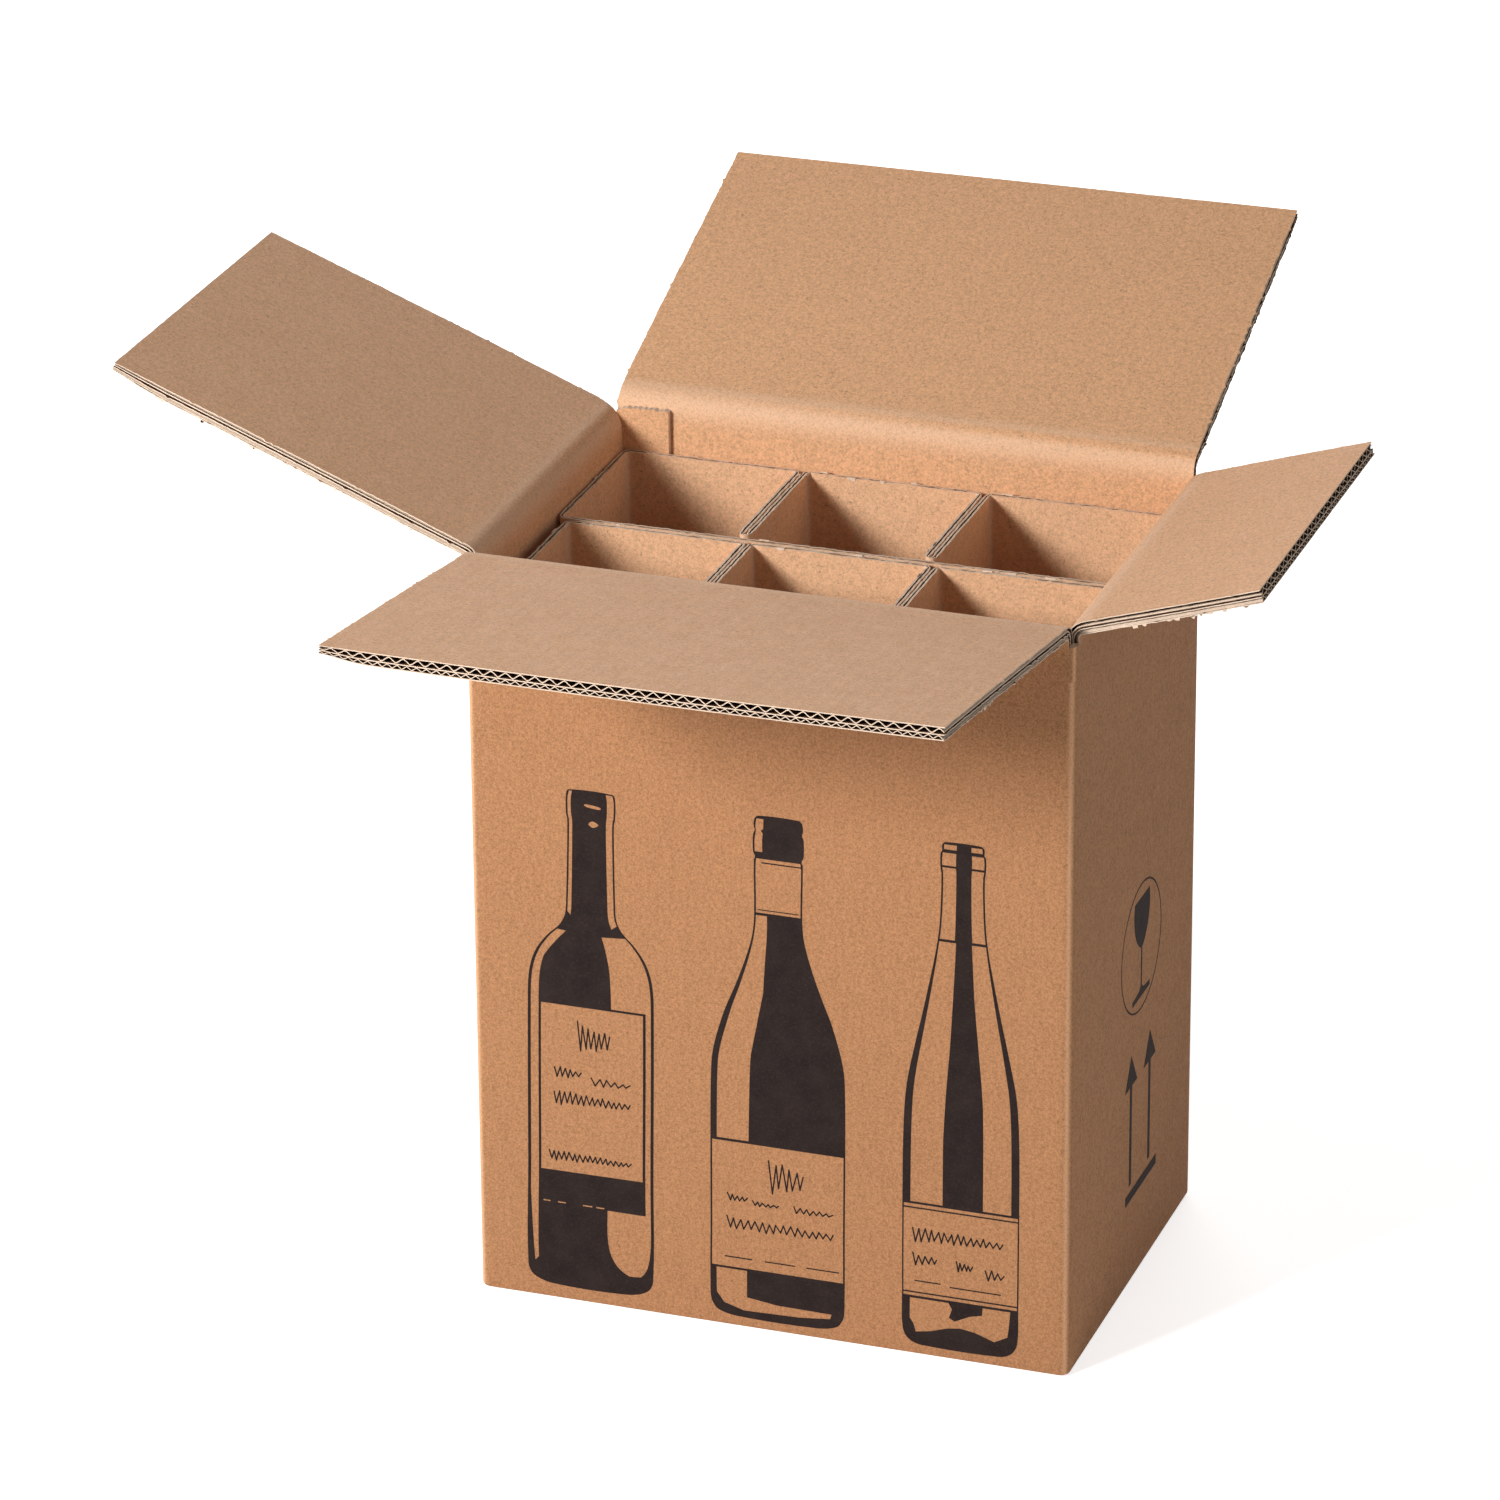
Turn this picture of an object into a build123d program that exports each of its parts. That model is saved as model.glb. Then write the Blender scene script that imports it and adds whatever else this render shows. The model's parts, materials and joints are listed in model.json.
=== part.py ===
from build123d import *
from math import floor
import os

# Bottle shipping carton for six bottles, standing open.
# A slotted carton of double-wall board holds two folded divider strips, three cells each.
# Millimetres, +Z up, the printed front looks along -Y, origin in the middle of the base.

# Carton, outside sizes of the walls
width = 310.0
depth = 216.0
front_score = 398.6       # height of the front flap's fold line
corner_radius = 5.0
base_fold = 1.5           # bevel that the folded lower edges show

# Double-wall board: three liners, a coarse flute on the inside and a fine one outside
liner = 0.45
coarse_height = 3.15
coarse_pitch = 7.2
fine_height = 2.1
fine_pitch = 4.85
coarse_medium = 0.5       # thickness of the coarse fluted paper
fine_medium = 0.4
cut_margin = 3.0          # least width of board left over beside the last whole flutes

# Crushed scores, on which the flaps turn
score_gap = 0.3           # between a flap's rolled root and the edge it turns on
score_play = 1.0          # uncrushed board starts this far from the roll
score_band = 6.0          # flutes are pressed shut over this length of the flap

# Flaps
outer_flap_length = 203.0   # front and back flaps, from the outside of their wall
short_flap_length = 97.0    # right flap, from the outside of its wall
flap_meeting_gap = 10.0     # between the left and the right flap when both are shut
outer_flap_inset = 3.0      # front and back flaps, from the outside of the carton
inner_flap_clearance = 0.6
front_angle = 172.0       # turned open from shut, as the carton stands
back_angle = 160.0
left_angle = 158.5
right_angle = 162.5

# Glue tab, pressed to half the board, inside the back wall
tab_width = 25.0
tab_top_gap = 3.0         # below the back wall's top edge
tab_corner = 5.0
tab_clearance = 0.5       # cut from the left flap beside the tab, besides what it overlaps
tab_relief_run = 4.0      # length of flap cut away past the tab

# Bottom, folded shut and glued
bottom_flap_length = 107.5
bottom_slit = 0.6
slot_nick = 3.0

# Dividers of single-wall board
divider_board = 3.0
divider_groove = 1.7      # open flute along a cut edge
divider_groove_depth = 2.5
fin_gap = 0.8             # between the two layers of a fin
fin_clearance = 3.5       # from a fin's folded end to the wall before it
fin_flat = 0.1            # left between the two folds of a fin's end
divider_drop = 20.0       # divider tops below the front fold
divider_side_clearance = 1.2    # to the side wall that a strip is pushed against
divider_slack = 6.6             # to the other side wall
divider_front_clearance = 0.4
divider_tab_clearance = 0.3
divider_row_gap = 1.2
divider_seam = 0.6              # between a strip's two ends

# Worked out
board = 3 * liner + coarse_height + fine_height
half_board = board / 2
root_radius = board / 4
inner_width = width - 2 * board
inner_depth = depth - 2 * board
side_score = front_score - half_board - score_gap
back_score = front_score + board + score_gap
outer_flap_width = width - 2 * outer_flap_inset
inner_flap_width = inner_depth - 2 * inner_flap_clearance
side_wall_top = side_score - 3 * root_radius - score_gap
back_wall_top = back_score - root_radius - score_gap
tab_top = back_wall_top - tab_top_gap
long_flap_length = width - short_flap_length - flap_meeting_gap
tab_relief = half_board - inner_flap_clearance + tab_clearance
inner_bottom = 2 * board
fin_width = 2 * divider_board + fin_gap
strip_width = inner_width - divider_side_clearance - divider_slack
row_room = inner_depth - half_board - divider_tab_clearance - divider_front_clearance
strip_depth = (row_room - divider_row_gap) / 2
cell_width = (strip_width - 2 * fin_width - 2 * divider_board) / 3


def flute_holes(first, count, pitch, low, height, medium):
    """Triangular voids on both sides of a fluted paper that zigzags between two liners."""
    half = pitch / 2
    slope = (height**2 + half**2) ** 0.5
    side = medium / 2 * slope / height
    tip = medium / 2 * slope / half
    top = low + height
    holes = []
    for i in range(count):
        x = first + i * pitch
        holes.append([(x + side, low), (x + pitch - side, low), (x + half, top - tip)])
        if i < count - 1:
            x += half
            holes.append([(x + side, top), (x + half, low + tip), (x + pitch - side, top)])
    return holes


def cut_flute(end, first, pitch, low, height, medium):
    """Points of the half flute that lies open in the board's cut side edge."""
    half = pitch / 2
    side = medium / 2 * (height**2 + half**2) ** 0.5 / height
    if end > first:
        foot = first + side
        return [(end, low), (foot, low), (foot - half, low + height), (end, low + height)]
    foot = first - side
    return [(end, low), (foot, low), (foot + half, low + height), (end, low + height)]


def board_section(board_width):
    """Cross section of the double-wall board, inner liner at the bottom, flutes cut open."""
    edge = board_width / 2
    layers = [
        (coarse_pitch, liner, coarse_height, coarse_medium),
        (fine_pitch, 2 * liner + coarse_height, fine_height, fine_medium),
    ]
    right = [(edge, 0)]
    left = [(-edge, 0)]
    holes = []
    for pitch, low, height, medium in layers:
        count = floor((board_width - cut_margin) / pitch)
        run = count * pitch / 2
        holes += flute_holes(-run, count, pitch, low, height, medium)
        right += cut_flute(edge, run, pitch, low, height, medium)
        left += cut_flute(-edge, -run, pitch, low, height, medium)
    right.append((edge, board))
    left.append((-edge, board))
    outline = Wire(Polyline(*right, *reversed(left), close=True))
    return Face(outline, [Wire(Polyline(*hole, close=True)) for hole in holes])


def flap(flap_width, length, pivot_low):
    """A flap lying shut: fold line on the X axis, running to +Y, inner face down.

    The board is crushed to half at the fold. pivot_low says that the half left over is
    the outer one, so that the rest of the board hangs below the fold line.
    """
    pivot_depth = root_radius if pivot_low else 3 * root_radius
    low = -3 * root_radius if pivot_low else -root_radius
    free_end = length - pivot_depth
    full_start = root_radius + score_play
    fluted_start = full_start + score_band
    roll = Rot(0, 90, 0) * Cylinder(root_radius, flap_width)
    root = Pos(0, full_start / 2, 0) * Box(flap_width, full_start, half_board)
    band = Pos(0, full_start + score_band / 2, low + half_board) * Box(
        flap_width, score_band, board
    )
    section = Plane((0, fluted_start, low), x_dir=(1, 0, 0), z_dir=(0, -1, 0))
    fluted = extrude(section * board_section(flap_width), fluted_start - free_end)
    return roll + root + band + fluted


def place_flap(shape, x, y, z, turn, angle):
    """Put a shut flap on its fold line, facing inward, and open it by the angle."""
    return Pos(x, y, z) * Rot(0, 0, turn) * Rot(angle, 0, 0) * shape


def carton_outline(height):
    return extrude(RectangleRounded(width, depth, corner_radius), height)


def wall_zone(x_size, y_size, x, y, top):
    """A block that reaches up from the slot floor, to be cut out of the carton's outline."""
    height = top - side_wall_top
    return Pos(x, y, side_wall_top + height / 2) * Box(x_size, y_size, height)


def wall_tops():
    """The walls above the slots, each ending in the half board that its flap turns on."""
    side_ridge = side_score - root_radius - score_gap
    front_ridge = front_score - root_radius - score_gap
    step = 2 * root_radius + score_play - score_gap
    side_x = (width - half_board) / 2
    zones = [
        wall_zone(half_board, inner_flap_width, side_x, 0, side_ridge),
        wall_zone(half_board, inner_flap_width, -side_x, 0, side_ridge),
    ]
    for direction, ridge in ((-1, front_ridge), (1, back_wall_top)):
        outer_y = direction * (depth - half_board) / 2
        inner_y = direction * (depth - 3 * half_board) / 2
        zones.append(wall_zone(outer_flap_width, half_board, 0, outer_y, ridge - step))
        zones.append(wall_zone(outer_flap_width, half_board, 0, inner_y, ridge))
    outline = carton_outline(back_wall_top)
    return [outline & zone for zone in zones]


def glue_tab():
    """The left wall's tab, folded round the back corner and glued inside the back wall."""
    left_x = -inner_width / 2
    height = tab_top - inner_bottom
    tab = Pos(left_x + tab_width / 2, (inner_depth - half_board) / 2, inner_bottom + height / 2) * Box(
        tab_width, half_board, height
    )
    corner = tab.edges().filter_by(Axis.Y).group_by(Axis.Z)[-1].sort_by(Axis.X)[0]
    return chamfer(corner, tab_corner)


def carton_body():
    """Walls, glue tab and the four bottom flaps, folded and glued from one sheet."""
    shell = carton_outline(side_wall_top)
    shell = chamfer(shell.faces().sort_by(Axis.Z)[0].edges(), base_fold)
    room = Pos(0, 0, inner_bottom) * extrude(Rectangle(inner_width, inner_depth), side_wall_top)
    shell -= room

    floor_gap = width - 2 * bottom_flap_length
    shell -= Pos(0, 0, 1.5 * board) * Box(floor_gap, inner_depth, board)
    shell -= Pos(0, 0, half_board) * Box(inner_width, bottom_slit, board)
    slit_x = (width - half_board) / 2 - root_radius
    for side in (-1, 1):
        shell -= Pos(side * slit_x, 0, half_board) * Box(bottom_slit, inner_depth, board)
        for end in (-1, 1):
            nick = Box(2 * slot_nick, 2 * slot_nick, slot_nick)
            shell -= Pos(side * width / 2, end * depth / 2, 0) * nick
    for top in wall_tops():
        shell += top
    return shell + glue_tab()


def outer_flap(angle, at_front):
    """Front or back flap. It shuts over the side flaps."""
    shape = flap(outer_flap_width, outer_flap_length, pivot_low=False)
    y = depth / 2 - 3 * root_radius
    if at_front:
        return place_flap(shape, 0, -y, front_score, 0, angle)
    return place_flap(shape, 0, y, back_score, 180, angle)


def left_flap():
    """Long side flap, which fills the width that the short one leaves, cut back by the tab."""
    shape = flap(inner_flap_width, long_flap_length, pivot_low=True)
    relief_length = board + tab_width + tab_relief_run
    corner = make_face(
        Polyline(
            (tab_relief, -board),
            (tab_relief, relief_length),
            (-board, relief_length + tab_relief + board),
            (-board, -board),
            close=True,
        )
    )
    shape -= Pos(-inner_flap_width / 2, 0, 0) * extrude(corner, 2 * board, both=True)
    return place_flap(shape, root_radius - width / 2, 0, side_score, -90, left_angle)


def right_flap():
    """Short side flap, which the long one meets."""
    shape = flap(inner_flap_width, short_flap_length, pivot_low=True)
    return place_flap(shape, width / 2 - root_radius, 0, side_score, 90, right_angle)


def divider_path():
    """Middle line of one strip, seen from above, its back left corner at the origin.

    The strip starts at the front right corner and runs along the front, up the left side
    and along the back, where it is folded forward and back again into a fin between cells.
    """
    half = divider_board / 2
    left = half
    right = strip_width - half
    back = -half
    front = half - strip_depth
    fin_end = front + half + fin_clearance + half
    points = [(right - half - divider_seam, front), (left, front), (left, back)]
    radii = [divider_board, divider_board]
    fin_radius = (divider_board + fin_gap - fin_flat) / 2
    for i in (1, 2):
        fin_left = divider_board + i * cell_width + (i - 1) * fin_width + half
        fin_right = fin_left + divider_board + fin_gap
        points += [(fin_left, back), (fin_left, fin_end), (fin_right, fin_end), (fin_right, back)]
        radii += [divider_board, fin_radius, fin_radius, divider_board]
    points += [(right, back), (right, front - half)]
    radii.append(divider_board)
    return FilletPolyline(*points, radius=radii)


def divider_strip():
    """One folded strip with a bottle row's three cells, standing on the XY plane.

    Its flutes lie level, so the top edge shows an open one, pressed shut at each fold.
    """
    path = divider_path()
    height = front_score - divider_drop - inner_bottom
    strip = extrude(trace(path, divider_board), height)
    for run in path.edges().filter_by(GeomType.LINE):
        if run.length > cell_width / 2:
            groove = extrude(trace(run, divider_groove), divider_groove_depth)
            strip -= Pos(0, 0, height - divider_groove_depth) * groove
    return strip


def divider_rows():
    """The back strip stands against the left wall, the front one against the right wall."""
    strip = divider_strip()
    back_y = inner_depth / 2 - half_board - divider_tab_clearance
    front_y = back_y - strip_depth - divider_row_gap
    back_x = divider_side_clearance - inner_width / 2
    front_x = inner_width / 2 - divider_side_clearance - strip_width
    back = Pos(back_x, back_y, inner_bottom) * strip
    front = Pos(front_x, front_y, inner_bottom) * strip
    return back, front


def main():
    os.makedirs("parts", exist_ok=True)
    back_row, front_row = divider_rows()
    nodes = {
        "carton_body": carton_body(),
        "flap_front": outer_flap(front_angle, at_front=True),
        "flap_back": outer_flap(back_angle, at_front=False),
        "flap_left": left_flap(),
        "flap_right": right_flap(),
        "divider_back_row": back_row,
        "divider_front_row": front_row,
    }
    for name, shape in nodes.items():
        export_step(shape, f"parts/{name}.step")


main()
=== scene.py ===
import json
import math

import bmesh
import bpy
import numpy as np
from mathutils import Matrix, Vector
from mathutils.geometry import delaunay_2d_cdt


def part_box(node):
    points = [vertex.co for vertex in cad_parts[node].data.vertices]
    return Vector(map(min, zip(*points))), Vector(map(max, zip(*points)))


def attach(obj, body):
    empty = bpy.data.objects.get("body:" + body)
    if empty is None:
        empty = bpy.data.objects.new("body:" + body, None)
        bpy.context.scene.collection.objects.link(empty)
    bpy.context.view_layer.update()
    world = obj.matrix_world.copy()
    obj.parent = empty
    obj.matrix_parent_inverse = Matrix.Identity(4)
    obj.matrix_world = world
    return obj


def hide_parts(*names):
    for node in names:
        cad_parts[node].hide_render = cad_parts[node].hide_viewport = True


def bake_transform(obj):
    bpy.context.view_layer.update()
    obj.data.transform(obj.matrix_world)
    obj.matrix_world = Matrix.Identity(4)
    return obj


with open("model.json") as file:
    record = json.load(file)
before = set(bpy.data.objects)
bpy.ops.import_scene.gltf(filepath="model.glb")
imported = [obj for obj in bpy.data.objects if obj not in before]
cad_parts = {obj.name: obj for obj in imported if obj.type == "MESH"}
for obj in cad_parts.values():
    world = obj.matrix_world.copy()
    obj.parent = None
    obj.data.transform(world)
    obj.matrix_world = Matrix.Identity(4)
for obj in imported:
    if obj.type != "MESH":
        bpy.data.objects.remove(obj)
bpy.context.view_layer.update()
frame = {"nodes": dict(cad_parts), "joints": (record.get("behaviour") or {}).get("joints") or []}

# Sizes are in millimetres until a mesh is made, and then in metres
MM = 0.001
TO_MM = 1000.0

# The carton, from the frame
carton_high = TO_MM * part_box("carton_body")[1]
half_width = carton_high.x
half_depth = carton_high.y
joints = {joint["child"]: joint for joint in frame["joints"]}

# Double-wall board: three liners, a coarse flute inside and a fine one outside
board = 6.6
liner = 0.55
coarse_height = 2.98
coarse_pitch = 7.2
fine_pitch = 4.85
coarse_medium = 0.46
fine_medium = 0.38

# The carton's corners, flaps and bottom
corner_radius = 5.0
inner_half_width = half_width - board
inner_half_depth = half_depth - board
outer_flap_half = 152.0
inner_flap_half = inner_half_depth - 0.6
slot_floor = 389.75
seam_height = 372.0
floor_top = 2 * board
base_fold = 1.5

# The divider strips: single-wall board, folded into three cells each
divider_board = 3.0
divider_liner = 1.05
divider_cell = 89.8
fin_width = 6.8
fin_radius = 1.85
fin_clearance = 3.5
divider_pitch = 6.3

# Torn scraps of paper on the cut edges
scraps_per_edge = 13
scraps_per_strip = 18

# Materials' places in a board mesh
INSIDE, OUTSIDE, CUT, RAW = range(4)


def smooth_noise(count, spacing, reach, seed):
    """A smooth random line: one value for each step, about the same over the reach."""
    rng = np.random.default_rng(seed)
    knots = max(4, int(count * spacing / reach) + 2)
    values = rng.normal(0, 1, knots)
    return np.interp(np.linspace(0, knots - 1, count), np.arange(knots), values)


def ragged(count, spacing, amount, nib, seed):
    """Offsets of a torn paper edge: a rough line with a few nibs that stand out."""
    rng = np.random.default_rng(seed + 1000)
    slow = smooth_noise(count, spacing, 12, seed)
    quick = smooth_noise(count, spacing, 3, seed + 1)
    line = amount * (0.5 * slow + 0.5 * quick + 0.5 * rng.normal(0, 1, count))
    torn = rng.random(count) < 0.05
    return line + np.where(torn, nib * rng.uniform(0.4, 1.0, count), 0)


def in_scene(name, data):
    """A new object in the scene."""
    made = bpy.data.objects.new(name, data)
    bpy.context.scene.collection.objects.link(made)
    return made


class Shape:
    """A mesh in the making. Each vertex has a value for rubbed and crushed fibres, painted highlights
    and painted shade, and a place across the flutes.
    """

    sharp_angle = 40

    def __init__(self):
        self.points = []
        self.wear_and_shading = []
        self.across = []
        self.faces = []
        self.slots = []
        self.count = 0

    def add(self, points, faces, slots, wear_and_shading=0.0, across=0.0):
        points = np.asarray(points, float).reshape(-1, 3)
        self.points.append(points)
        for values, value in ((self.wear_and_shading, wear_and_shading), (self.across, across)):
            values.append(np.broadcast_to(np.asarray(value, float).ravel(), len(points)))
        self.faces += [[self.count + i for i in face] for face in faces]
        self.slots += list(np.broadcast_to(slots, (len(faces),)))
        self.count += len(points)

    def make(self, name, materials):
        mesh = bpy.data.meshes.new(name)
        mesh.from_pydata((np.concatenate(self.points) * MM).tolist(), [], self.faces)
        mesh.polygons.foreach_set("material_index", np.array(self.slots, np.int32))
        mesh.polygons.foreach_set("use_smooth", np.ones(len(self.faces), bool))
        for label, values in (("wear_and_shading", self.wear_and_shading), ("across", self.across)):
            attribute = mesh.attributes.new(label, "FLOAT", "POINT")
            attribute.data.foreach_set("value", np.concatenate(values).astype(np.float32))
        work = bmesh.new()
        work.from_mesh(mesh)
        bmesh.ops.recalc_face_normals(work, faces=work.faces)
        work.to_mesh(mesh)
        work.free()
        mesh.set_sharp_from_angle(angle=math.radians(self.sharp_angle))
        for material in materials:
            mesh.materials.append(material)
        return in_scene(name, mesh)


def grid_faces(rows, columns, closed=False):
    """Quads of a grid, its columns joined at the ends if it is closed."""
    index = np.arange(rows * columns).reshape(rows, columns)
    if closed:
        index = np.concatenate([index, index[:, :1]], axis=1)
    quads = np.stack([index[:-1, :-1], index[:-1, 1:], index[1:, 1:], index[1:, :-1]], -1)
    return quads.reshape(-1, 4)


def grid_slab(shape, low, high, low_slot, high_slot, rim_slot, wear_and_shading=0.0, across=0.0):
    """A closed slab between two grids of points, each of them rows by columns by three."""
    rows, columns = low.shape[:2]
    layer = rows * columns
    index = np.arange(layer).reshape(rows, columns)
    quads = grid_faces(rows, columns)
    ring = np.concatenate([index[0, :], index[1:, -1], index[-1, -2::-1], index[-2:0:-1, 0]])
    after = np.roll(ring, -1)
    rim = np.stack([ring, ring + layer, after + layer, after], -1)
    faces = quads.tolist() + (quads[:, ::-1] + layer).tolist() + rim.tolist()
    parts = ((low_slot, quads), (high_slot, quads), (rim_slot, rim))
    slots = [np.broadcast_to(slot, len(part)) for slot, part in parts]
    both = np.concatenate([low.reshape(-1, 3), high.reshape(-1, 3)])
    values = [np.tile(np.broadcast_to(value, (rows, columns)).ravel(), 2) for value in (wear_and_shading, across)]
    shape.add(both, faces, np.concatenate(slots), *values)


def rim_edges(faces):
    """The edges that only one of the faces has."""
    used = {}
    for face in faces:
        for a, b in zip(face, [*face[1:], face[0]]):
            used.setdefault((min(a, b), max(a, b)), []).append((a, b))
    return [pairs[0] for pairs in used.values() if len(pairs) == 1]


def closed_sheet(faces, rim, total):
    """Faces of a closed sheet: its lower side, the upper side turned over, and the rim."""
    upper = [[i + total for i in reversed(face)] for face in faces]
    return faces + upper + [[b, a, a + total, b + total] for a, b in rim]


def flat_sheet(outline, inside):
    """Points and faces of a flat sheet cut to an outline, with points inside it too."""
    count = len(outline)
    flat = [Vector(p) for p in outline + inside]
    edges = [(i, (i + 1) % count) for i in range(count)]
    found, _, faces, *_ = delaunay_2d_cdt(flat, edges, [list(range(count))], 1, 1e-6)
    return np.array([tuple(p) for p in found]), [list(face) for face in faces]


def bent_sheet(shape, fold, sheet, levels, slots):
    """A sheet of paper from flat_sheet, bent along a fold and closed between two levels."""
    flat, faces = sheet
    along, station = flat.T
    rim = rim_edges(faces)
    kinds = np.repeat(slots, (len(faces), len(faces), len(rim)))
    points = np.concatenate([fold.place(along, station, level) for level in levels])
    values = [np.tile(value, 2) for value in (fold.wear_and_shading(along, station), along * MM)]
    shape.add(points, closed_sheet(faces, rim, len(flat)), kinds, *values)


def hump(away, reach):
    """1 where away is 0, and a little over a third at the reach."""
    return np.exp(-((away / reach) ** 2))


class Fold:
    """The board of one flap, from the wall below its fold to its free edge.

    A point has a place along the fold line, a station from the wall to the free edge, and a
    level from 0 at the inner face to 1 at the outer face. The front and back flaps are the upper
    ones: they shut over the side flaps.
    """

    near_end = 22.0
    crease_radius = 2.0
    wall_steps = 8
    arc_steps = 14
    near_steps = 5
    far_steps = 19

    def __init__(self, name, outward, radius, warp, crush=None):
        joint = joints[name + "_flap"]
        upper = name in ("front", "back")
        self.upper = upper
        self.pivot = np.array(TO_MM * Vector(joint["pos_m"]))
        self.outward = np.array(outward, float)
        self.way = np.array((1, 0, 0) if upper else (0, 1, 0), float)
        self.half = outer_flap_half if upper else inner_flap_half
        self.warp = warp
        self.crush = crush
        rise = math.radians(180 + joint["range_deg"][0])
        turn = math.pi / 2 - rise
        quarter = board / 4
        face_in = quarter if upper else 3 * quarter
        wall_in = -face_in
        reach = np.array([math.cos(rise), math.sin(rise)])
        normal = np.array([-math.sin(rise), math.cos(rise)])
        self.normal = normal
        start = seam_height - self.pivot[2]
        vertices = frame["nodes"]["flap_" + name].data.vertices
        corners = np.array([vertex.co for vertex in vertices]) * TO_MM - self.pivot
        free = (corners @ (self.outward * reach[0] + np.array([0, 0, reach[1]]))).max()
        inner_side = (wall_in, face_in, radius)
        outer_side = (wall_in + board, face_in - board, self.crease_radius)
        rails = []
        for wall, face, bend in (inner_side, outer_side):
            along_flap = (wall + math.sin(rise) * face) / math.cos(rise)
            corner = normal * face + reach * along_flap
            tangent = bend * math.tan(turn / 2)
            centre = np.array([wall + bend, corner[1] - tangent])
            lower = np.linspace(start, centre[1], self.wall_steps + 1)[:-1]
            angles = np.linspace(0, turn, self.arc_steps + 1)
            wall_part = np.stack([np.full(self.wall_steps, wall), lower], -1)
            arc = centre + bend * np.stack([-np.cos(angles), np.sin(angles)], -1)
            first = np.linspace(along_flap + tangent, self.near_end, self.near_steps + 1)[1:]
            rest = np.linspace(self.near_end, free, self.far_steps + 1)[1:]
            flap_part = normal * face + np.outer(np.concatenate([first, rest]), reach)
            rails.append(np.concatenate([wall_part, arc, flap_part]))
        self.rails = np.hstack(rails).T
        steps = np.linalg.norm(np.diff(sum(rails) / 2, axis=0), axis=1)
        self.stations = np.concatenate([[0], np.cumsum(steps)])
        self.total = self.stations[-1]
        self.arc_from = self.stations[self.wall_steps]
        self.arc_to = self.stations[self.wall_steps + self.arc_steps]
        self.bend_rows = self.wall_steps + self.arc_steps + self.near_steps
        self.board_from = self.stations[self.bend_rows]

    def place(self, along, station, level):
        """Points in the frame, in millimetres."""
        if self.crush:
            side, reach, amount = self.crush
            away = np.hypot(along - side * self.half, station - self.total)
            level = level * (1 - amount * hump(away, reach))
        rail = [np.interp(station, self.stations, values) for values in self.rails]
        wall_share = np.clip((self.arc_to - station) / (self.arc_to - self.arc_from), 0, 1)
        inset = 0.0
        if self.upper:
            past = np.clip(np.abs(along) - (half_width - corner_radius), 0, corner_radius - 1e-6)
            inset = (corner_radius - np.sqrt(corner_radius**2 - past**2)) * wall_share
        out = rail[0] + level * (rail[2] - inset - rail[0])
        up = rail[1] + level * (rail[3] - rail[1])
        reached = np.clip((station - self.board_from) / (self.total - self.board_from), 0, 1)
        lift = self.warp(along / self.half, reached)
        out = out + self.normal[0] * lift
        up = up + self.normal[1] * lift
        upward = np.outer(up, (0, 0, 1))
        return self.pivot + np.outer(out, self.outward) + upward + np.outer(along, self.way)

    def wear_and_shading(self, along, station):
        """Crushed fibres and a painted highlight along the fold; less than none is painted shade in
        the score, which fades to one end.
        """
        middle = (self.arc_from + self.arc_to) / 2
        reach = (self.arc_to - self.arc_from) * 0.62
        # Crushed fibres with a painted highlight over the arc, and a painted highlight on the ridge
        # just past it
        band = 0.8 * hump(station - middle, reach)
        ridge = 0.3 * hump(station - self.arc_to - 1, 1.6)
        # Painted shade in the score's groove
        score = 1.1 * hump(station - self.arc_to + 2.5, 1.4)
        return band + ridge - score * np.clip(0.5 + 0.5 * along / self.half, 0, 1)


def side_limit(fold, station, relief):
    """How far the board reaches along the fold line, cut back beside the glue tab by a relief."""
    if not relief:
        return np.full_like(station, fold.half)
    depth, first, last = relief
    cut = np.clip((last - station) / (last - first), 0, 1)
    return fold.half - depth * np.where(station < slot_floor - seam_height, 0, cut)


def flap_liner(shape, fold, levels, slots, seed, relief):
    """One liner of a flap, with its own torn outline and a coarse grid of points inside it."""
    step = 1.4
    coarse_step = 8
    margin = 2
    seam_fade = 6
    amount = 0.2
    nib = 1.1
    rows = np.linspace(0, fold.total, int(fold.total / step))
    fade = np.clip(rows / seam_fade, 0, 1)
    right = side_limit(fold, rows, relief) + fade * ragged(len(rows), step, amount, nib, seed)
    left = -fold.half - fade * ragged(len(rows), step, amount, nib, seed + 10)
    edge = np.linspace(right[-1], left[-1], int(2 * fold.half / step))[1:-1]
    end = fold.total + 0.5 * ragged(len(edge), step, amount, 0.3 * nib, seed + 20)
    seam = np.linspace(left[0], right[0], int(2 * fold.half / coarse_step))[1:-1]
    outline = [(along, 0.0) for along in seam]
    outline += [*zip(right, rows), *zip(edge, end), *zip(left[::-1], rows[::-1])]
    columns = np.linspace(-fold.half, fold.half, int(2 * fold.half / coarse_step))
    inside = []
    for station in fold.stations[1:-1]:
        limit = side_limit(fold, np.array([station]), relief)[0] - margin
        if station < fold.total - margin:
            inside += [(along, station) for along in columns if margin - fold.half < along < limit]
    bent_sheet(shape, fold, flat_sheet(outline, inside), levels, slots)


def flute_wave(phase):
    """A rounded zigzag between -1 and 1."""
    sharpness = 0.985
    return np.arcsin(sharpness * np.sin(phase)) / math.asin(sharpness)


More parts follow.
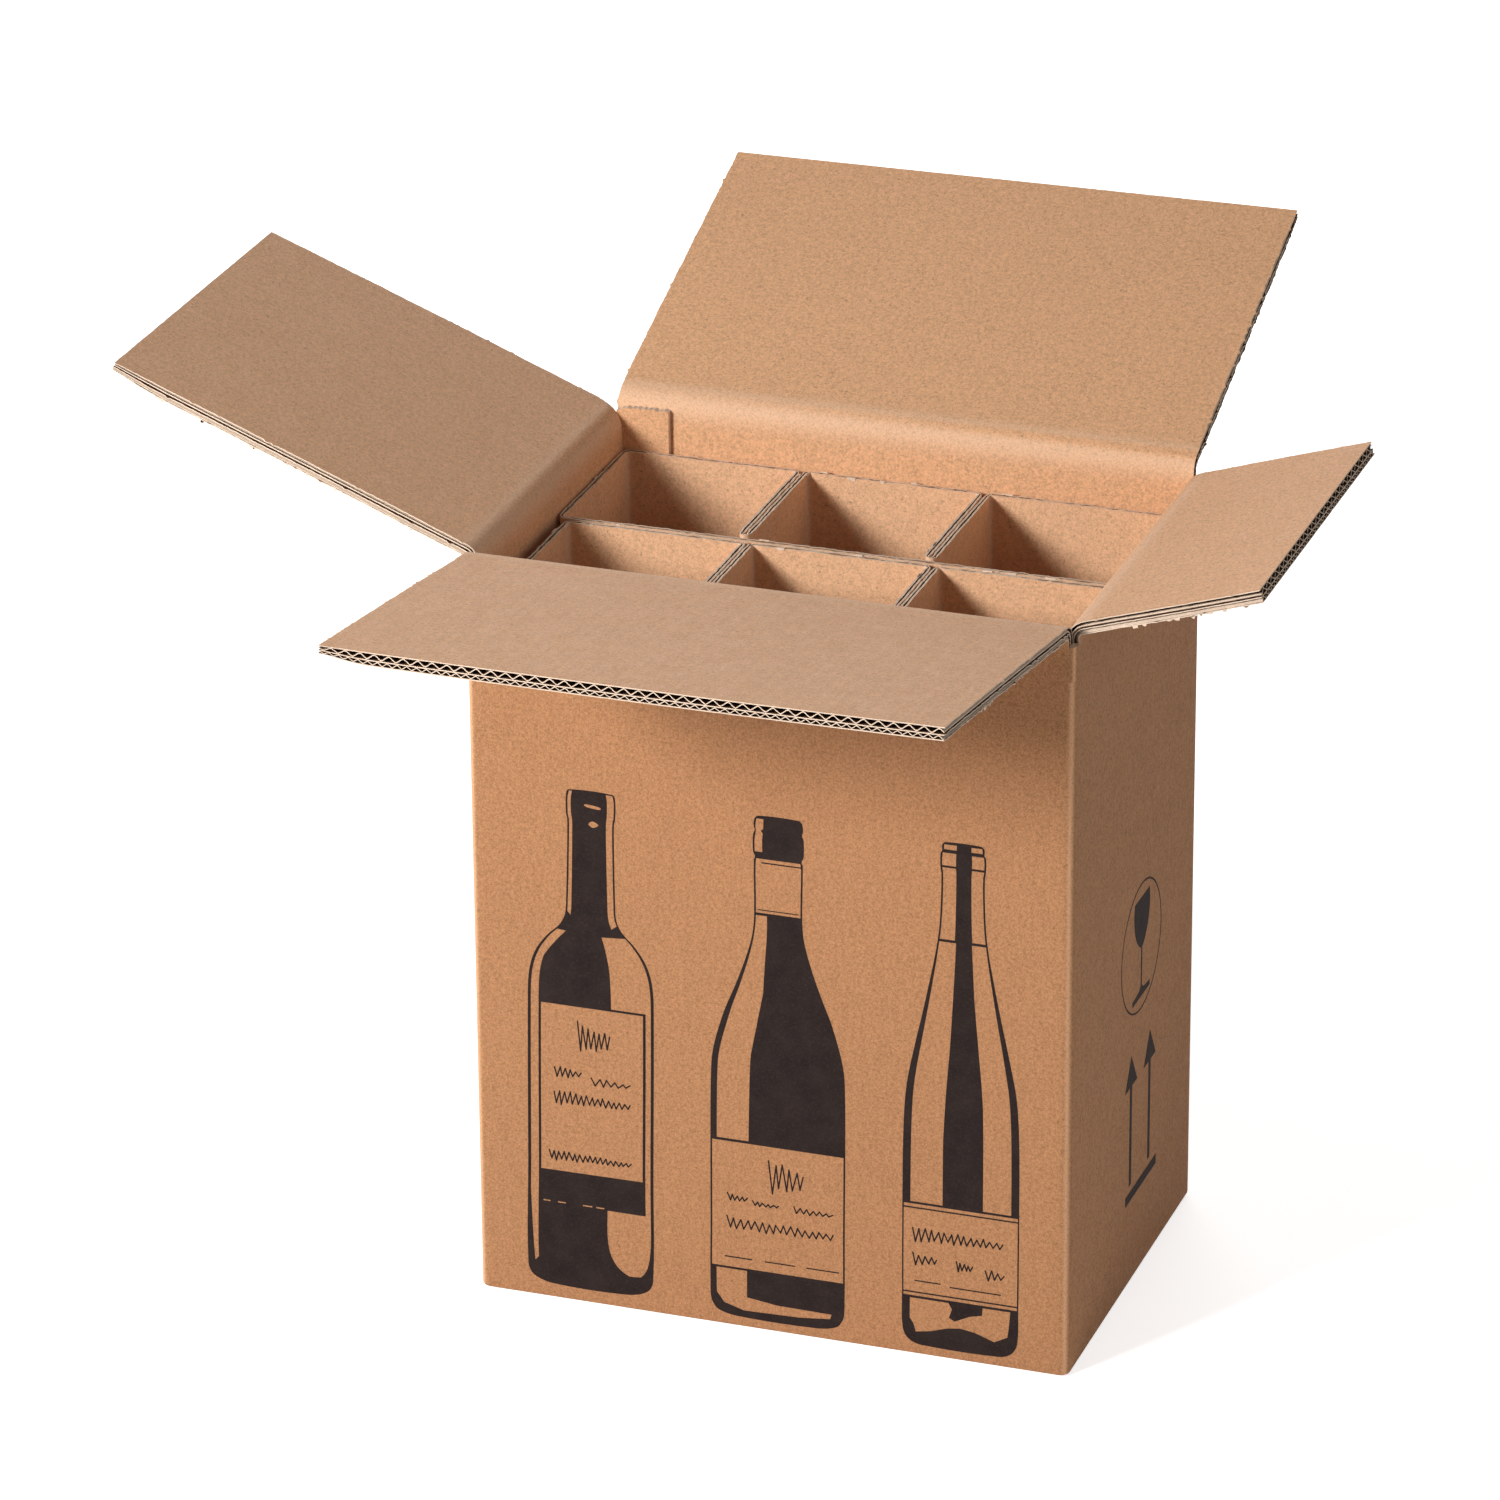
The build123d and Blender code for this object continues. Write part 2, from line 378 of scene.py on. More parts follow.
def flute_sheet(shape, fold, first, last, rows, flute, seed):
    """The fluted paper between two liners, as a grid along and across the flutes."""
    low, high, pitch, paper = flute
    steps_per_flute = 8
    count = max(3, int(abs(last - first) / pitch * steps_per_flute))
    along = np.linspace(first, last, count)
    slope = (high - low) * board / (pitch / 2)
    half = paper / 2 * math.sqrt(1 + slope**2) / board
    swing = (high - low) / 2 - paper / 2 / board
    middle = (low + high) / 2 + swing * flute_wave(2 * math.pi * along / pitch)
    rng = np.random.default_rng(seed)
    grids = np.zeros((2, len(rows), count, 3))
    for i, row in enumerate(rows):
        stations = np.full(count, row)
        if row > fold.total - 3:
            stations += rng.normal(0, 0.12, count)
        for grid, level in zip(grids, (middle - half, middle + half)):
            grid[i] = fold.place(along, stations, np.clip(level, low, high))
    # Near the cut ends the fluted paper shows as pale cut paper; further in it takes the raw paper,
    # whose darker tone is painted shade
    bare = np.minimum(along - along.min(), along.max() - along)[1:] < pitch / 2
    shown = np.tile(np.where(bare, CUT, RAW), len(rows) - 1)
    grid_slab(shape, *grids, shown, shown, CUT)


def scrap_grids(width, drop, rng):
    """Offsets of a torn scrap, along its edge and down from it, widest at its root."""
    down = np.array([-0.4, 0.5 * drop, drop])[:, None] * np.ones(4)
    down[2] *= rng.uniform(0.5, 1.0, 4)
    taper = np.array([1.0, 0.9, rng.uniform(0.4, 0.9)])[:, None]
    return width * np.linspace(-0.5, 0.5, 4) * taper, down


def flap_scraps(shape, fold, seed):
    """Scraps of the outer liner that hang from the cut side edges of a flap."""
    rng = np.random.default_rng(seed)
    for edge in (-fold.half, fold.half):
        for middle in rng.uniform(fold.board_from, fold.total - 5, scraps_per_edge):
            along, down = scrap_grids(rng.uniform(1.0, 3.6), rng.uniform(0.5, 1.7), rng)
            grids = []
            for inset in (0.4, -0.05):
                at_edge = np.full(along.size, edge - math.copysign(inset, edge))
                placed = fold.place(at_edge, middle + along.ravel(), 1 + down.ravel() / board)
                grids.append(placed.reshape(*along.shape, 3))
            grid_slab(shape, *grids, CUT, CUT, CUT)


def flap_piece(name, fold, materials, seed, relief):
    """A flap with its fold: three liners and two fluted papers, in the bend only at its ends."""
    shape = Shape()
    share = liner / board
    coarse_top = (liner + coarse_height) / board
    fine_low = (2 * liner + coarse_height) / board
    flap_liner(shape, fold, (0.0, share), (INSIDE, RAW, CUT), seed, relief)
    flap_liner(shape, fold, (coarse_top, fine_low), (RAW, RAW, CUT), seed + 100, relief)
    flap_liner(shape, fold, (1 - share, 1.0), (RAW, OUTSIDE, CUT), seed + 200, relief)
    board_rows = np.linspace(fold.board_from, fold.total - 0.1, 7)
    bend_rows = np.concatenate([[0.2], fold.stations[3 : fold.bend_rows + 1 : 2]])
    edge = fold.half - 0.3
    back_edge = edge - (relief[0] if relief else 0)
    for flute in (
        (share, coarse_top, coarse_pitch, coarse_medium),
        (fine_low, 1 - share, fine_pitch, fine_medium),
    ):
        strip = 2 * flute[2]
        flute_sheet(shape, fold, -edge, back_edge, board_rows, flute, seed)
        flute_sheet(shape, fold, -edge, -edge + strip, bend_rows, flute, seed)
        flute_sheet(shape, fold, back_edge - strip, back_edge, bend_rows, flute, seed)
    flap_scraps(shape, fold, seed + 5)
    return shape.make(name, materials)


def corner_rub_and_highlight(count):
    """Rubbed fibres and a painted highlight along the middle of a corner's arc."""
    return 1.6 * np.sin(np.linspace(0, math.pi, count)) ** 5


def wall_ring(inset, height):
    """A ring of points round the carton, seen from above, with rounded corners.

    Also gives each point's rubbing and painted highlight, highest at the corners, and its place
    across the flutes.
    """
    arc_points = 11
    side_points = 22
    radius = max(corner_radius - inset, 0.3)
    outer = np.array([half_width - inset, half_depth - inset])
    sign = np.array([(1, -1), (1, 1), (-1, 1), (-1, -1)], float)
    points = []
    wear_and_shading = []
    across = []
    for i in range(4):
        angles = np.radians(90 * i - 90 + np.linspace(0, 90, arc_points))
        arc = sign[i] * (outer - radius) + radius * np.stack([np.cos(angles), np.sin(angles)], -1)
        end = arc[-1] + (sign[(i + 1) % 4] - sign[i]) * (outer - radius)
        side = np.linspace(arc[-1], end, side_points + 2)[1:-1]
        points += [arc, side]
        wear_and_shading += [*corner_rub_and_highlight(arc_points), *np.zeros(side_points)]
        axis = i % 2
        before = np.arange(arc_points) <= arc_points // 2
        across += [*np.where(before, arc[:, axis], arc[:, 1 - axis]), *side[:, 1 - axis]]
    flat = np.concatenate(points)
    ring = np.concatenate([flat, np.full((len(flat), 1), height)], axis=1)
    return ring, np.array(wear_and_shading), np.array(across) * MM


def carton_walls(materials):
    """The four walls up to the flaps' seams, the corners, the bottom flaps and the glue tab."""
    shape = Shape()
    rounding = np.radians(np.linspace(0, 90, 5))
    base = [(base_fold * (1 - math.sin(turn)), base_fold * (1 - math.cos(turn))) for turn in rounding]
    outside = [(0.0, height) for height in (8, 20, 60, 120, 180, 240, 300, 350, seam_height)]
    inside = [(board, height) for height in (seam_height, 300, 200, 100, floor_top - 1, base_fold)]
    rings = [wall_ring(*place) for place in base + outside + inside]
    points, wear_and_shading, across = (np.array(values) for values in zip(*rings))
    rows, columns = points.shape[:2]
    quads = grid_faces(rows, columns, closed=True)
    first = np.arange(columns)
    after = np.roll(first, -1)
    last = (rows - 1) * columns
    closing = np.stack([after, first, first + last, after + last], -1)
    outer_quads = (len(base) + len(outside) - 1) * columns
    slots = np.where(np.arange(len(quads) + columns) < outer_quads, OUTSIDE, INSIDE)
    wear_and_shading[:2] = 1
    shape.add(points, np.concatenate([quads, closing]).tolist(), slots, wear_and_shading, across)
    corner_posts(shape)
    bottom_flaps(shape)
    glue_tab(shape)
    return shape.make("carton_walls", materials)


def corner_posts(shape):
    """The rounded corners of the board, which go up to the floor of the slots between flaps."""
    rng = np.random.default_rng(5)
    slot_angle = 66.4
    arc_points = 8
    levels = (seam_height - 0.5, slot_floor - 2, slot_floor)
    angles = np.radians(np.linspace(slot_angle, 0, arc_points))
    centre = np.array([half_width, half_depth]) - corner_radius
    arc = centre + corner_radius * np.stack([np.cos(angles), np.sin(angles)], -1)
    after = [(half_width, inner_flap_half), (inner_half_width, inner_flap_half)]
    after += [(inner_half_width, inner_half_depth)]
    corner = np.concatenate([[(outer_flap_half, inner_half_depth)], arc, after])
    count = len(corner)
    wear_and_shading = np.concatenate([[0], corner_rub_and_highlight(arc_points), np.zeros(len(after))])
    for x_sign in (-1, 1):
        for y_sign in (-1, 1):
            flat = corner * (x_sign, y_sign)
            points = np.concatenate([np.column_stack([flat, np.full(count, z)]) for z in levels])
            points[2 * count:, 2] += rng.normal(0, 0.35, count)
            faces = grid_faces(3, count, closed=True).tolist()
            slots = [OUTSIDE] * (len(faces) + 1) + [CUT]
            faces += [list(range(count))[::-1], list(range(2 * count, 3 * count))]
            shape.add(points, faces, slots, np.tile(wear_and_shading, 3))


def box_slab(shape, low, high, slots, steps):
    """A closed box as a grid slab, its lower and upper faces in their own materials."""
    x = np.linspace(low[0], high[0], steps[0])
    y = np.linspace(low[1], high[1], steps[1])
    flat = np.meshgrid(x, y)
    grids = [np.stack([*flat, np.full_like(flat[0], z)], -1) for z in (low[2], high[2])]
    grid_slab(shape, *grids, *slots)


def bottom_flaps(shape):
    """Two long flaps meet under two short ones and close the bottom."""
    long_from = 0.5
    short_from = 47.5
    lowest = 0.3
    into_wall = 0.5
    slots = (OUTSIDE, INSIDE, CUT)
    for side in (-1, 1):
        near, far = sorted((side * long_from, side * (inner_half_depth + into_wall)))
        low = (-inner_half_width, near, lowest)
        high = (inner_half_width, far, board)
        box_slab(shape, low, high, slots, (12, 8))
        near, far = sorted((side * short_from, side * (inner_half_width + into_wall)))
        low = (near, -inner_half_depth, board)
        high = (far, inner_half_depth, floor_top)
        box_slab(shape, low, high, slots, (8, 12))


def glue_tab(shape):
    """The glued tab in the back left corner, its top edge torn a little."""
    tab_width = 25
    tab_top = 400.4
    thickness = 3.2
    slope_width = 6
    columns = 40
    x = np.linspace(-inner_half_width - 3, tab_width - inner_half_width, columns)
    tops = tab_top + 0.3 * smooth_noise(columns, 0.8, 3, 31) + 0.5 * (np.arange(columns) % 4 < 2)
    tops -= 2 * np.clip((x[0] + slope_width - x) / slope_width, 0, 1)
    rows = np.array([0, 0.3, 0.6, 0.9, 0.97, 0.99, 1.0])[:, None]
    grids = np.zeros((2, len(rows), columns, 3))
    grids[..., 0] = x
    grids[0, ..., 1] = inner_half_depth - thickness
    grids[1, ..., 1] = inner_half_depth + 0.2
    grids[..., 2] = floor_top + (tops - floor_top) * rows
    grid_slab(shape, *grids, INSIDE, OUTSIDE, CUT, 0.0, x * MM)


def strip_line(width, depth):
    """The middle line of a divider strip seen from above, its back left corner at the origin.

    Gives points, the length up to each one, and the folds' places along the line.
    """
    arc_points = 7
    end_gap = 2.1
    half = divider_board / 2
    front = half - depth
    fin_end = front + 2 * half + fin_clearance
    corners = [(width - half - end_gap, front), (half, front), (half, -half)]
    radii = [0, divider_board, divider_board]
    for i in (1, 2):
        left = divider_board + i * divider_cell + (i - 1) * fin_width + half
        right = left + fin_width - divider_board
        corners += [(left, -half), (left, fin_end), (right, fin_end), (right, -half)]
        radii += [divider_board, fin_radius, fin_radius, divider_board]
    corners = np.array(corners + [(width - half, -half), (width - half, front - half)])
    radii += [divider_board, 0]
    points = [corners[0]]
    for i in range(1, len(corners) - 1):
        ways = corners[[i - 1, i + 1]] - corners[i]
        back, on = ways / np.linalg.norm(ways, axis=1)[:, None]
        centre = corners[i] + radii[i] * (back + on)
        angles = np.radians(np.linspace(0, 90, arc_points))[:, None]
        points += list(centre - radii[i] * (on * np.cos(angles) + back * np.sin(angles)))
    points = np.array(points + [corners[-1]])
    steps = np.linalg.norm(np.diff(points, axis=0), axis=1)
    length = np.concatenate([[0], np.cumsum(steps)])
    return points, length, length[1 + arc_points // 2 : -1 : arc_points]


def strip_scraps(shape, stations, line, side, top, seed):
    """Scraps of liner that hang from the top edge of a divider strip, on either of its faces."""
    rng = np.random.default_rng(seed)
    for middle in rng.uniform(8, stations[-1] - 8, scraps_per_strip):
        along, down = scrap_grids(rng.uniform(1.5, 7.0), rng.uniform(0.7, 1.8), rng)
        face = divider_board / 2 * rng.choice([-1, 1])
        grids = np.zeros((2, *along.shape, 3))
        for grid, stand_off in zip(grids, (0.9, 1.2)):
            for axis in (0, 1):
                on_line = np.interp(middle + along, stations, line[:, axis])
                facing = np.interp(middle + along, stations, side[:, axis])
                grid[..., axis] = on_line + stand_off * face * facing
            grid[..., 2] = top - 0.2 - down
        grid_slab(shape, *grids, CUT, CUT, CUT)


def divider_piece(name, low, high, materials, seed):
    """One folded divider strip: two liners with torn top edges and the fluted paper between."""
    step = 1.8
    points, length, folds = strip_line(high.x - low.x, high.y - low.y)
    runs = [length]
    for first, last in zip(length[:-1], length[1:]):
        if last - first > 2.5:
            runs.append(np.linspace(first, last, int((last - first) / step) + 2)[1:-1])
    stations = np.sort(np.concatenate(runs))
    line = np.stack([np.interp(stations, length, points[:, axis]) for axis in (0, 1)], -1)
    line += (low.x, high.y)
    tangent = np.gradient(line, stations, axis=0)
    tangent /= np.linalg.norm(tangent, axis=1)[:, None]
    side = np.stack([tangent[:, 1], -tangent[:, 0]], -1)
    crush = hump(np.abs(stations[:, None] - folds[None, :]).min(axis=1), 3.5)
    half = divider_board / 2 * (1 - 0.42 * crush)
    levels = np.array([0, 0.15, 0.4, 0.65, 0.85, 0.95, 0.985, 1.0])[:, None]
    count = len(stations)
    paper = 2 * divider_liner / divider_board
    torn = 0.35
    rough = [
        high.z - torn + np.minimum(torn, ragged(count, step, 0.22, 0.6, seed + offset))
        for offset in (0, 7)
    ]
    sunk = high.z - 1.5 - 0.4 * smooth_noise(count, step, 6, seed + 50)
    shape = Shape()
    for band, tops, slots in (
        ((-1, paper - 1), rough[0], (INSIDE, RAW, CUT)),
        ((1 - paper, 1), rough[1], (RAW, INSIDE, CUT)),
        ((paper - 1, 1 - paper), sunk, (RAW, RAW, RAW)),
    ):
        z = low.z + (tops - low.z) * levels
        grids = np.zeros((2, len(levels), count, 3))
        for grid, offset in zip(grids, band):
            grid[..., :2] = line + side * (half * offset)[:, None]
            grid[..., 2] = z
        grid_slab(shape, *grids, *slots, crush, z * MM)
    strip_scraps(shape, stations, line, side, high.z, seed + 9)
    return shape.make(name, materials)


def rounded(points, steps=6):
    """A smooth closed line through the points. A point given twice stays a sharp corner."""
    points = np.array(points, float)
    before = np.roll(points, 1, axis=0)
    after = np.roll(points, -1, axis=0)
    beyond = np.roll(points, -2, axis=0)
    made = []
    for a, b, c, d in zip(before, points, after, beyond):
        back, on, ahead = (np.linalg.norm(q - p) for p, q in ((a, b), (b, c), (c, d)))
        if on < 1e-6:
            continue
        t = (np.arange(steps) / steps)[:, None]
        leaving = c - b if back < 1e-6 else (c - a) * on / (back + on)
        arriving = c - b if ahead < 1e-6 else (d - b) * on / (on + ahead)
        made.append(
            (2 * t**3 - 3 * t**2 + 1) * b + (t**3 - 2 * t**2 + t) * leaving
            + (3 * t**2 - 2 * t**3) * c + (t**3 - t**2) * arriving
        )
    return np.concatenate(made)


class Print:
    """Ink on a flat face of the carton, painted in order: a later shape covers what is under it."""

    ink_thickness = 0.06
    sunk = -0.02

    def __init__(self):
        self.shapes = []

    def fill(self, points, ink=True):
        points = np.asarray(points, float)
        x, y = points.T
        if x @ np.roll(y, -1) < y @ np.roll(x, -1):
            points = points[::-1]
        self.shapes.append((points, ink))

    def stroke(self, points, width, ink=True):
        points = np.asarray(points, float)
        for a, b in zip(points[:-1], points[1:]):
            way = (b - a) / max(np.linalg.norm(b - a), 1e-6) * width / 2
            side = np.array([-way[1], way[0]])
            cap = 0.7 * way
            self.fill([a - cap - side, b + cap - side, b + cap + side, a - cap + side], ink)

    def make(self, name, place, material):
        """The ink's mesh. place puts flat points on the board, at a height above it."""
        flat = []
        faces = []
        for points, _ in self.shapes:
            faces.append(list(range(len(flat), len(flat) + len(points))))
            flat += [Vector(p) for p in points]
        found, _, pieces, _, _, owners = delaunay_2d_cdt(flat, [], faces, 1, 1e-4)
        inked = [face for face, own in zip(pieces, owners) if own and self.shapes[max(own)][1]]
        kept = sorted({i for face in inked for i in face})
        inked = [np.searchsorted(kept, face).tolist() for face in inked]
        every = closed_sheet(inked, rim_edges(inked), len(kept))
        flat = np.array([tuple(found[i]) for i in kept])
        shape = Shape()
        points = np.concatenate([place(flat, height) for height in (self.sunk, self.ink_thickness)])
        shape.add(points, every, 0)
        return shape.make(name, [material])


class Bottle:
    """A drawn bottle. A place inside it is a share of the half width there, and a height.

    Its profile is a list of heights, each with the half width there.
    """

    neck_line = 0.9
    foot = 20
    tall = 260

    def __init__(self, sheet, centre, lean, profile, line):
        self.sheet = sheet
        self.centre = centre
        self.lean = lean
        left = [(height, -width) for height, width in reversed(profile)]
        outline = rounded(profile + left, 5)
        half = outline[outline[:, 1] > 0]
        order = np.argsort(half[:, 0])
        self.heights = half[order, 0]
        self.widths = half[order, 1]
        self.line = line
        self.sheet.fill(self.leaning(outline[:, 1], outline[:, 0]))

    def leaning(self, x, height):
        return np.stack([self.centre + x + self.lean * (height - self.foot) / self.tall, height], -1)

    def inside(self, share, height):
        width = np.interp(height, self.heights, self.widths)
        line = self.neck_line + (self.line - self.neck_line) * np.clip((width - 13) / 17, 0, 1)
        return self.leaning(share * (width - line), height)

    def patch(self, corners, ink=False, smooth=False):
        """A shape inside the bottle that follows its sides."""
        corners = rounded(corners) if smooth else np.array(corners, float)
        dense = []
        for a, b in zip(corners, np.roll(corners, -1, axis=0)):
            steps = max(1, int(abs(b[1] - a[1]) / 3))
            dense.append(a + (b - a) * (np.arange(steps) / steps)[:, None])
        dense = np.concatenate(dense)
        self.sheet.fill(self.inside(dense[:, 0], dense[:, 1]), ink)

    def line_at(self, height, first, last, width=0.8, ink=True):
        shares = np.linspace(first, last, 4)
        self.sheet.stroke(self.inside(shares, np.full(4, float(height))), width, ink)

    def scribbles(self, lines, first_seed):
        """Zigzags in the place of writing, tall at their start.

        Each is a height, its first and last share, how tall it is, and its teeth.
        """
        for seed, (height, first, last, tall, teeth) in enumerate(lines, first_seed):
            rng = np.random.default_rng(seed)
            count = 2 * teeth + 1
            shares = np.linspace(first, last, count)
            shares += rng.uniform(-0.25, 0.25, count) * (last - first) / count
            fade = np.linspace(1, 0.35, count) * rng.uniform(0.6, 1.1, count)
            heights = height + tall / 2 * fade * np.where(np.arange(count) % 2, -1, 1)
            self.sheet.stroke(self.inside(shares, heights), 0.75)


def claret_bottle(front):
    profile = [(8, 20), (11.5, 30.5), (18, 33.4), (75, 33.3), (165, 33.2), (181, 32.4), (192, 29.2)]
    profile += [(201, 23.2), (208, 16.4), (214, 13.5), (224, 12.8), (254, 12.2), (266, 12.2)]
    profile += [(268.5, 12.8), (279, 12.8), (281.6, 11.4)]
    bottle = Bottle(front, -95.2, 4.2, profile, 1.6)
    bottle.patch([(-1, 281), (-0.86, 281), (-0.84, 214), (-1, 216)])
    bottle.patch([(0.7, 281), (1, 281), (1, 211), (0.74, 209)])
    bottle.patch([(-0.2, 274.8), (0.36, 274), (0.36, 272.6), (-0.2, 273.4)], smooth=True)
    bottle.patch([(-0.1, 264.3), (0.1, 266), (0.36, 264.3), (0.1, 262.6)], smooth=True)
    bottle.patch([(-1, 205.5), (-0.72, 205), (-0.87, 190), (-0.87, 22), (-0.93, 20), (-1, 60)])
    bottle.patch([(0.34, 165.4), (0.33, 185), (0.3, 204), (1, 205), (1, 165.4)])
    bottle.patch([(0.915, 166), (1, 166), (1, 50), (0.915, 53.8)])
    bottle.patch([(-0.83, 164.2), (0.87, 164.2), (0.87, 72.4), (-0.83, 72)])
    low = [(0.28, 53.6), (0.28, 53.6), (0.29, 36), (0.4, 25), (0.65, 18.5), (0.85, 19), (0.98, 30)]
    bottle.patch(low + [(1, 53.6), (1, 53.6)], smooth=True)
    for first, last in ((-0.78, -0.68), (-0.54, -0.42), (-0.12, 0.02), (0.1, 0.22)):
        bottle.line_at(54.4, first, last, 0.7, ink=False)
    lines = [(147, -0.22, 0.32, 19, 6), (127, -0.6, -0.16, 7, 5), (124, 0.02, 0.66, 5, 5)]
    bottle.scribbles(lines + [(113, -0.62, 0.66, 8, 14), (80.5, -0.7, 0.68, 6, 16)], 1)


def burgundy_bottle(front):
    profile = [(5.7, 20), (8, 31), (13, 34.6), (20, 35.3), (60, 35.2), (104, 35.2), (137, 34.9)]
    profile += [(152, 33.8), (173, 28.2), (189, 22), (204, 16.8), (217, 13.4), (228, 12.4)]
    profile += [(257, 12.6), (259.5, 12), (262, 13), (271, 13), (273.4, 12.2), (276, 12.7)]
    profile += [(279.5, 12.2), (281.2, 10.4)]
    bottle = Bottle(front, 3.9, 2.1, profile, 3.3)
    shine = [(-1, 279.6), (-0.68, 279.6), (-0.68, 274.4), (-0.8, 273.3), (-0.68, 272)]
    bottle.patch(shine + [(-0.68, 262), (-1, 262)])
    bottle.patch([(-1, 258.4), (1, 258.4), (1, 229.4), (-1, 229.4)])
    bottle.line_at(256.3, -0.72, 1, 0.7)
    bottle.line_at(231, -0.9, 0.9, 0.5)
    shine = [(-1, 228), (-0.5, 228), (-0.44, 205), (-0.37, 186), (-0.46, 152), (-0.478, 104)]
    bottle.patch(shine + [(-1, 104)])
    bottle.patch([(-1.075, 102.6), (1.075, 102.6), (1.075, 33), (-1.075, 33)])
    low = [(-1, 31.8), (-0.5, 31.8), (-0.5, 17), (0, 15), (0.9, 14.6), (0.9, 12), (0.4, 10.2)]
    bottle.patch(low + [(-0.6, 9.4), (-0.9, 12.5), (-1, 18)])
    lines = [(86, -0.14, 0.42, 21, 5), (71.5, -0.82, -0.5, 5, 4), (70, -0.42, 0.02, 3, 5)]
    bottle.scribbles(lines + [(69.6, 0.26, 0.9, 4, 6), (57.5, -0.84, 0.92, 8, 15)], 11)
    for first, last in ((-0.86, -0.42), (-0.2, 0.28), (0.48, 1)):
        bottle.line_at(38.5, first, last, 0.7)


def hock_bottle(front):
    profile = [(5.6, 20), (8, 26.5), (14, 29.7), (33, 30.1), (84, 30.1), (125, 29.7), (148, 28.2)]
    profile += [(169, 24.3), (189, 20), (207, 16.4), (222, 13.6), (234, 12), (248, 11.2)]
    profile += [(264, 11), (267, 11.5), (274.4, 11.5), (276, 10.7), (279, 10.7), (280.6, 9)]
    bottle = Bottle(front, 99.3, 0.8, profile, 4.1)
    for near, far in ((-1, -0.34), (0.42, 1)):
        for top, foot in ((279.4, 276.8), (275, 268.3), (267.2, 229)):
            bottle.patch([(near, top), (far, top), (far, foot), (near, foot)])
    bottle.patch([(-1, 227.6), (-0.28, 227.6), (-0.29, 170), (-0.36, 120), (-0.36, 84.6), (-1, 84.6)])
    bottle.patch([(0.4, 227.6), (1, 227.6), (1, 84.6), (0.44, 84.6), (0.44, 140), (0.38, 200)])
    bottle.patch([(-1.13, 83.4), (1.13, 83.4), (1.13, 32.6), (-1.13, 32.6)])
    for height in (81.3, 34.6):
        bottle.line_at(height, -1.13, 1.13)
    low = [(-1, 31.3), (1, 31.3), (0.95, 17), (0.7, 13.4), (0.3, 16.9), (0, 18), (-0.25, 17)]
    bottle.patch(low + [(-0.6, 14), (-0.9, 12.6), (-0.93, 17), (-1, 20)])
    drop = [(-0.24, 31.6), (0.45, 31.6), (0.44, 27), (0.2, 25.5), (-0.1, 21.5), (-0.22, 23)]
    bottle.patch(drop + [(-0.16, 28)], ink=True)
    lines = [(67, -0.96, 0.84, 9, 14), (53, -0.94, -0.46, 8, 4), (52, -0.08, 0.24, 7, 4)]
    bottle.scribbles(lines + [(50, 0.5, 0.86, 7, 3)], 21)
    bottle.line_at(41, -0.9, -0.4, 0.7)
    bottle.line_at(40, -0.2, 0.8, 0.7)


def side_figures(side):
    """A wine glass in a ring, and under it two upright arrows on a bar."""
    turn = np.radians(np.arange(0, 361, 7.5))
    ring_radius = 34.4
    ring = np.array([11.8, 181.8]) + ring_radius * np.stack([np.cos(turn), np.sin(turn)], -1)
    side.stroke(ring, 1.0)
    stem = 12.3
    half = [(13, 209), (13, 209), (13.6, 200), (10.5, 190), (5, 183.5), (1, 181), (1, 181)]
    half += [(1, 160), (1, 160), (4, 158), (15, 156.8), (15, 156.8), (15, 154), (15, 154)]
    glass = [(stem + x, height) for x, height in half]
    glass += [(stem - x, height) for x, height in reversed(half)]
    side.fill(rounded(glass, 5))
    head = 10.6
    shaft = 1.9
    for middle in (-3, 29.4):
        side.fill([(middle - head, 110.8), (middle, 110.8), (middle + head, 110.8), (middle, 128)])
        left = middle - shaft
        right = middle + shaft
        side.fill([(left, 55.8), (right, 55.8), (right, 112), (left, 112)])
    side.fill([(-10.8, 46.6), (43, 46.6), (43, 52), (-10.8, 52)])


class Nodes:
    """A short way to write a material's node tree."""

    def __init__(self, name):
        self.material = bpy.data.materials.new(name)
        self.material.use_nodes = True
        self.tree = self.material.node_tree
        self.surface = self.tree.nodes["Principled BSDF"]
        self.place = self.node("ShaderNodeTexCoord").outputs["Object"]

    def node(self, kind, inputs=None, **settings):
        made = self.tree.nodes.new(kind)
        for key, value in settings.items():
            setattr(made, key, value)
        for key, value in (inputs or {}).items():
            if isinstance(value, bpy.types.NodeSocket):
                self.tree.links.new(value, made.inputs[key])
            else:
                made.inputs[key].default_value = value
        return made

    def math(self, operation, a, b=0.5, clamp=False):
        inputs = {0: a, 1: b}
        return self.node("ShaderNodeMath", inputs, operation=operation, use_clamp=clamp).outputs[0]

    def spread(self, value, low, high, to_low=0.0, to_high=1.0):
        inputs = {"Value": value, "From Min": low, "From Max": high}
        inputs |= {"To Min": to_low, "To Max": to_high}
        return self.node("ShaderNodeMapRange", inputs).outputs["Result"]

    def noise(self, scale, detail, rough, stretch=None):
        place = self.place
        if stretch:
            place = self.node("ShaderNodeMapping", {"Vector": place, "Scale": stretch}).outputs[0]
        inputs = {"Vector": place, "Scale": scale, "Detail": detail, "Roughness": rough}
        return self.node("ShaderNodeTexNoise", inputs).outputs["Fac"]

    def mix(self, share, a, b):
        return self.node("ShaderNodeMix", {0: share, 6: a, 7: b}, data_type="RGBA").outputs[2]

    def bump(self, height, strength, distance, normal=(0, 0, 0)):
        inputs = {"Height": height, "Strength": strength, "Distance": distance, "Normal": normal}
        return self.node("ShaderNodeBump", inputs).outputs[0]

    def link(self, value, name):
        self.tree.links.new(value, self.surface.inputs[name])

    def set(self, name, value):
        self.surface.inputs[name].default_value = value


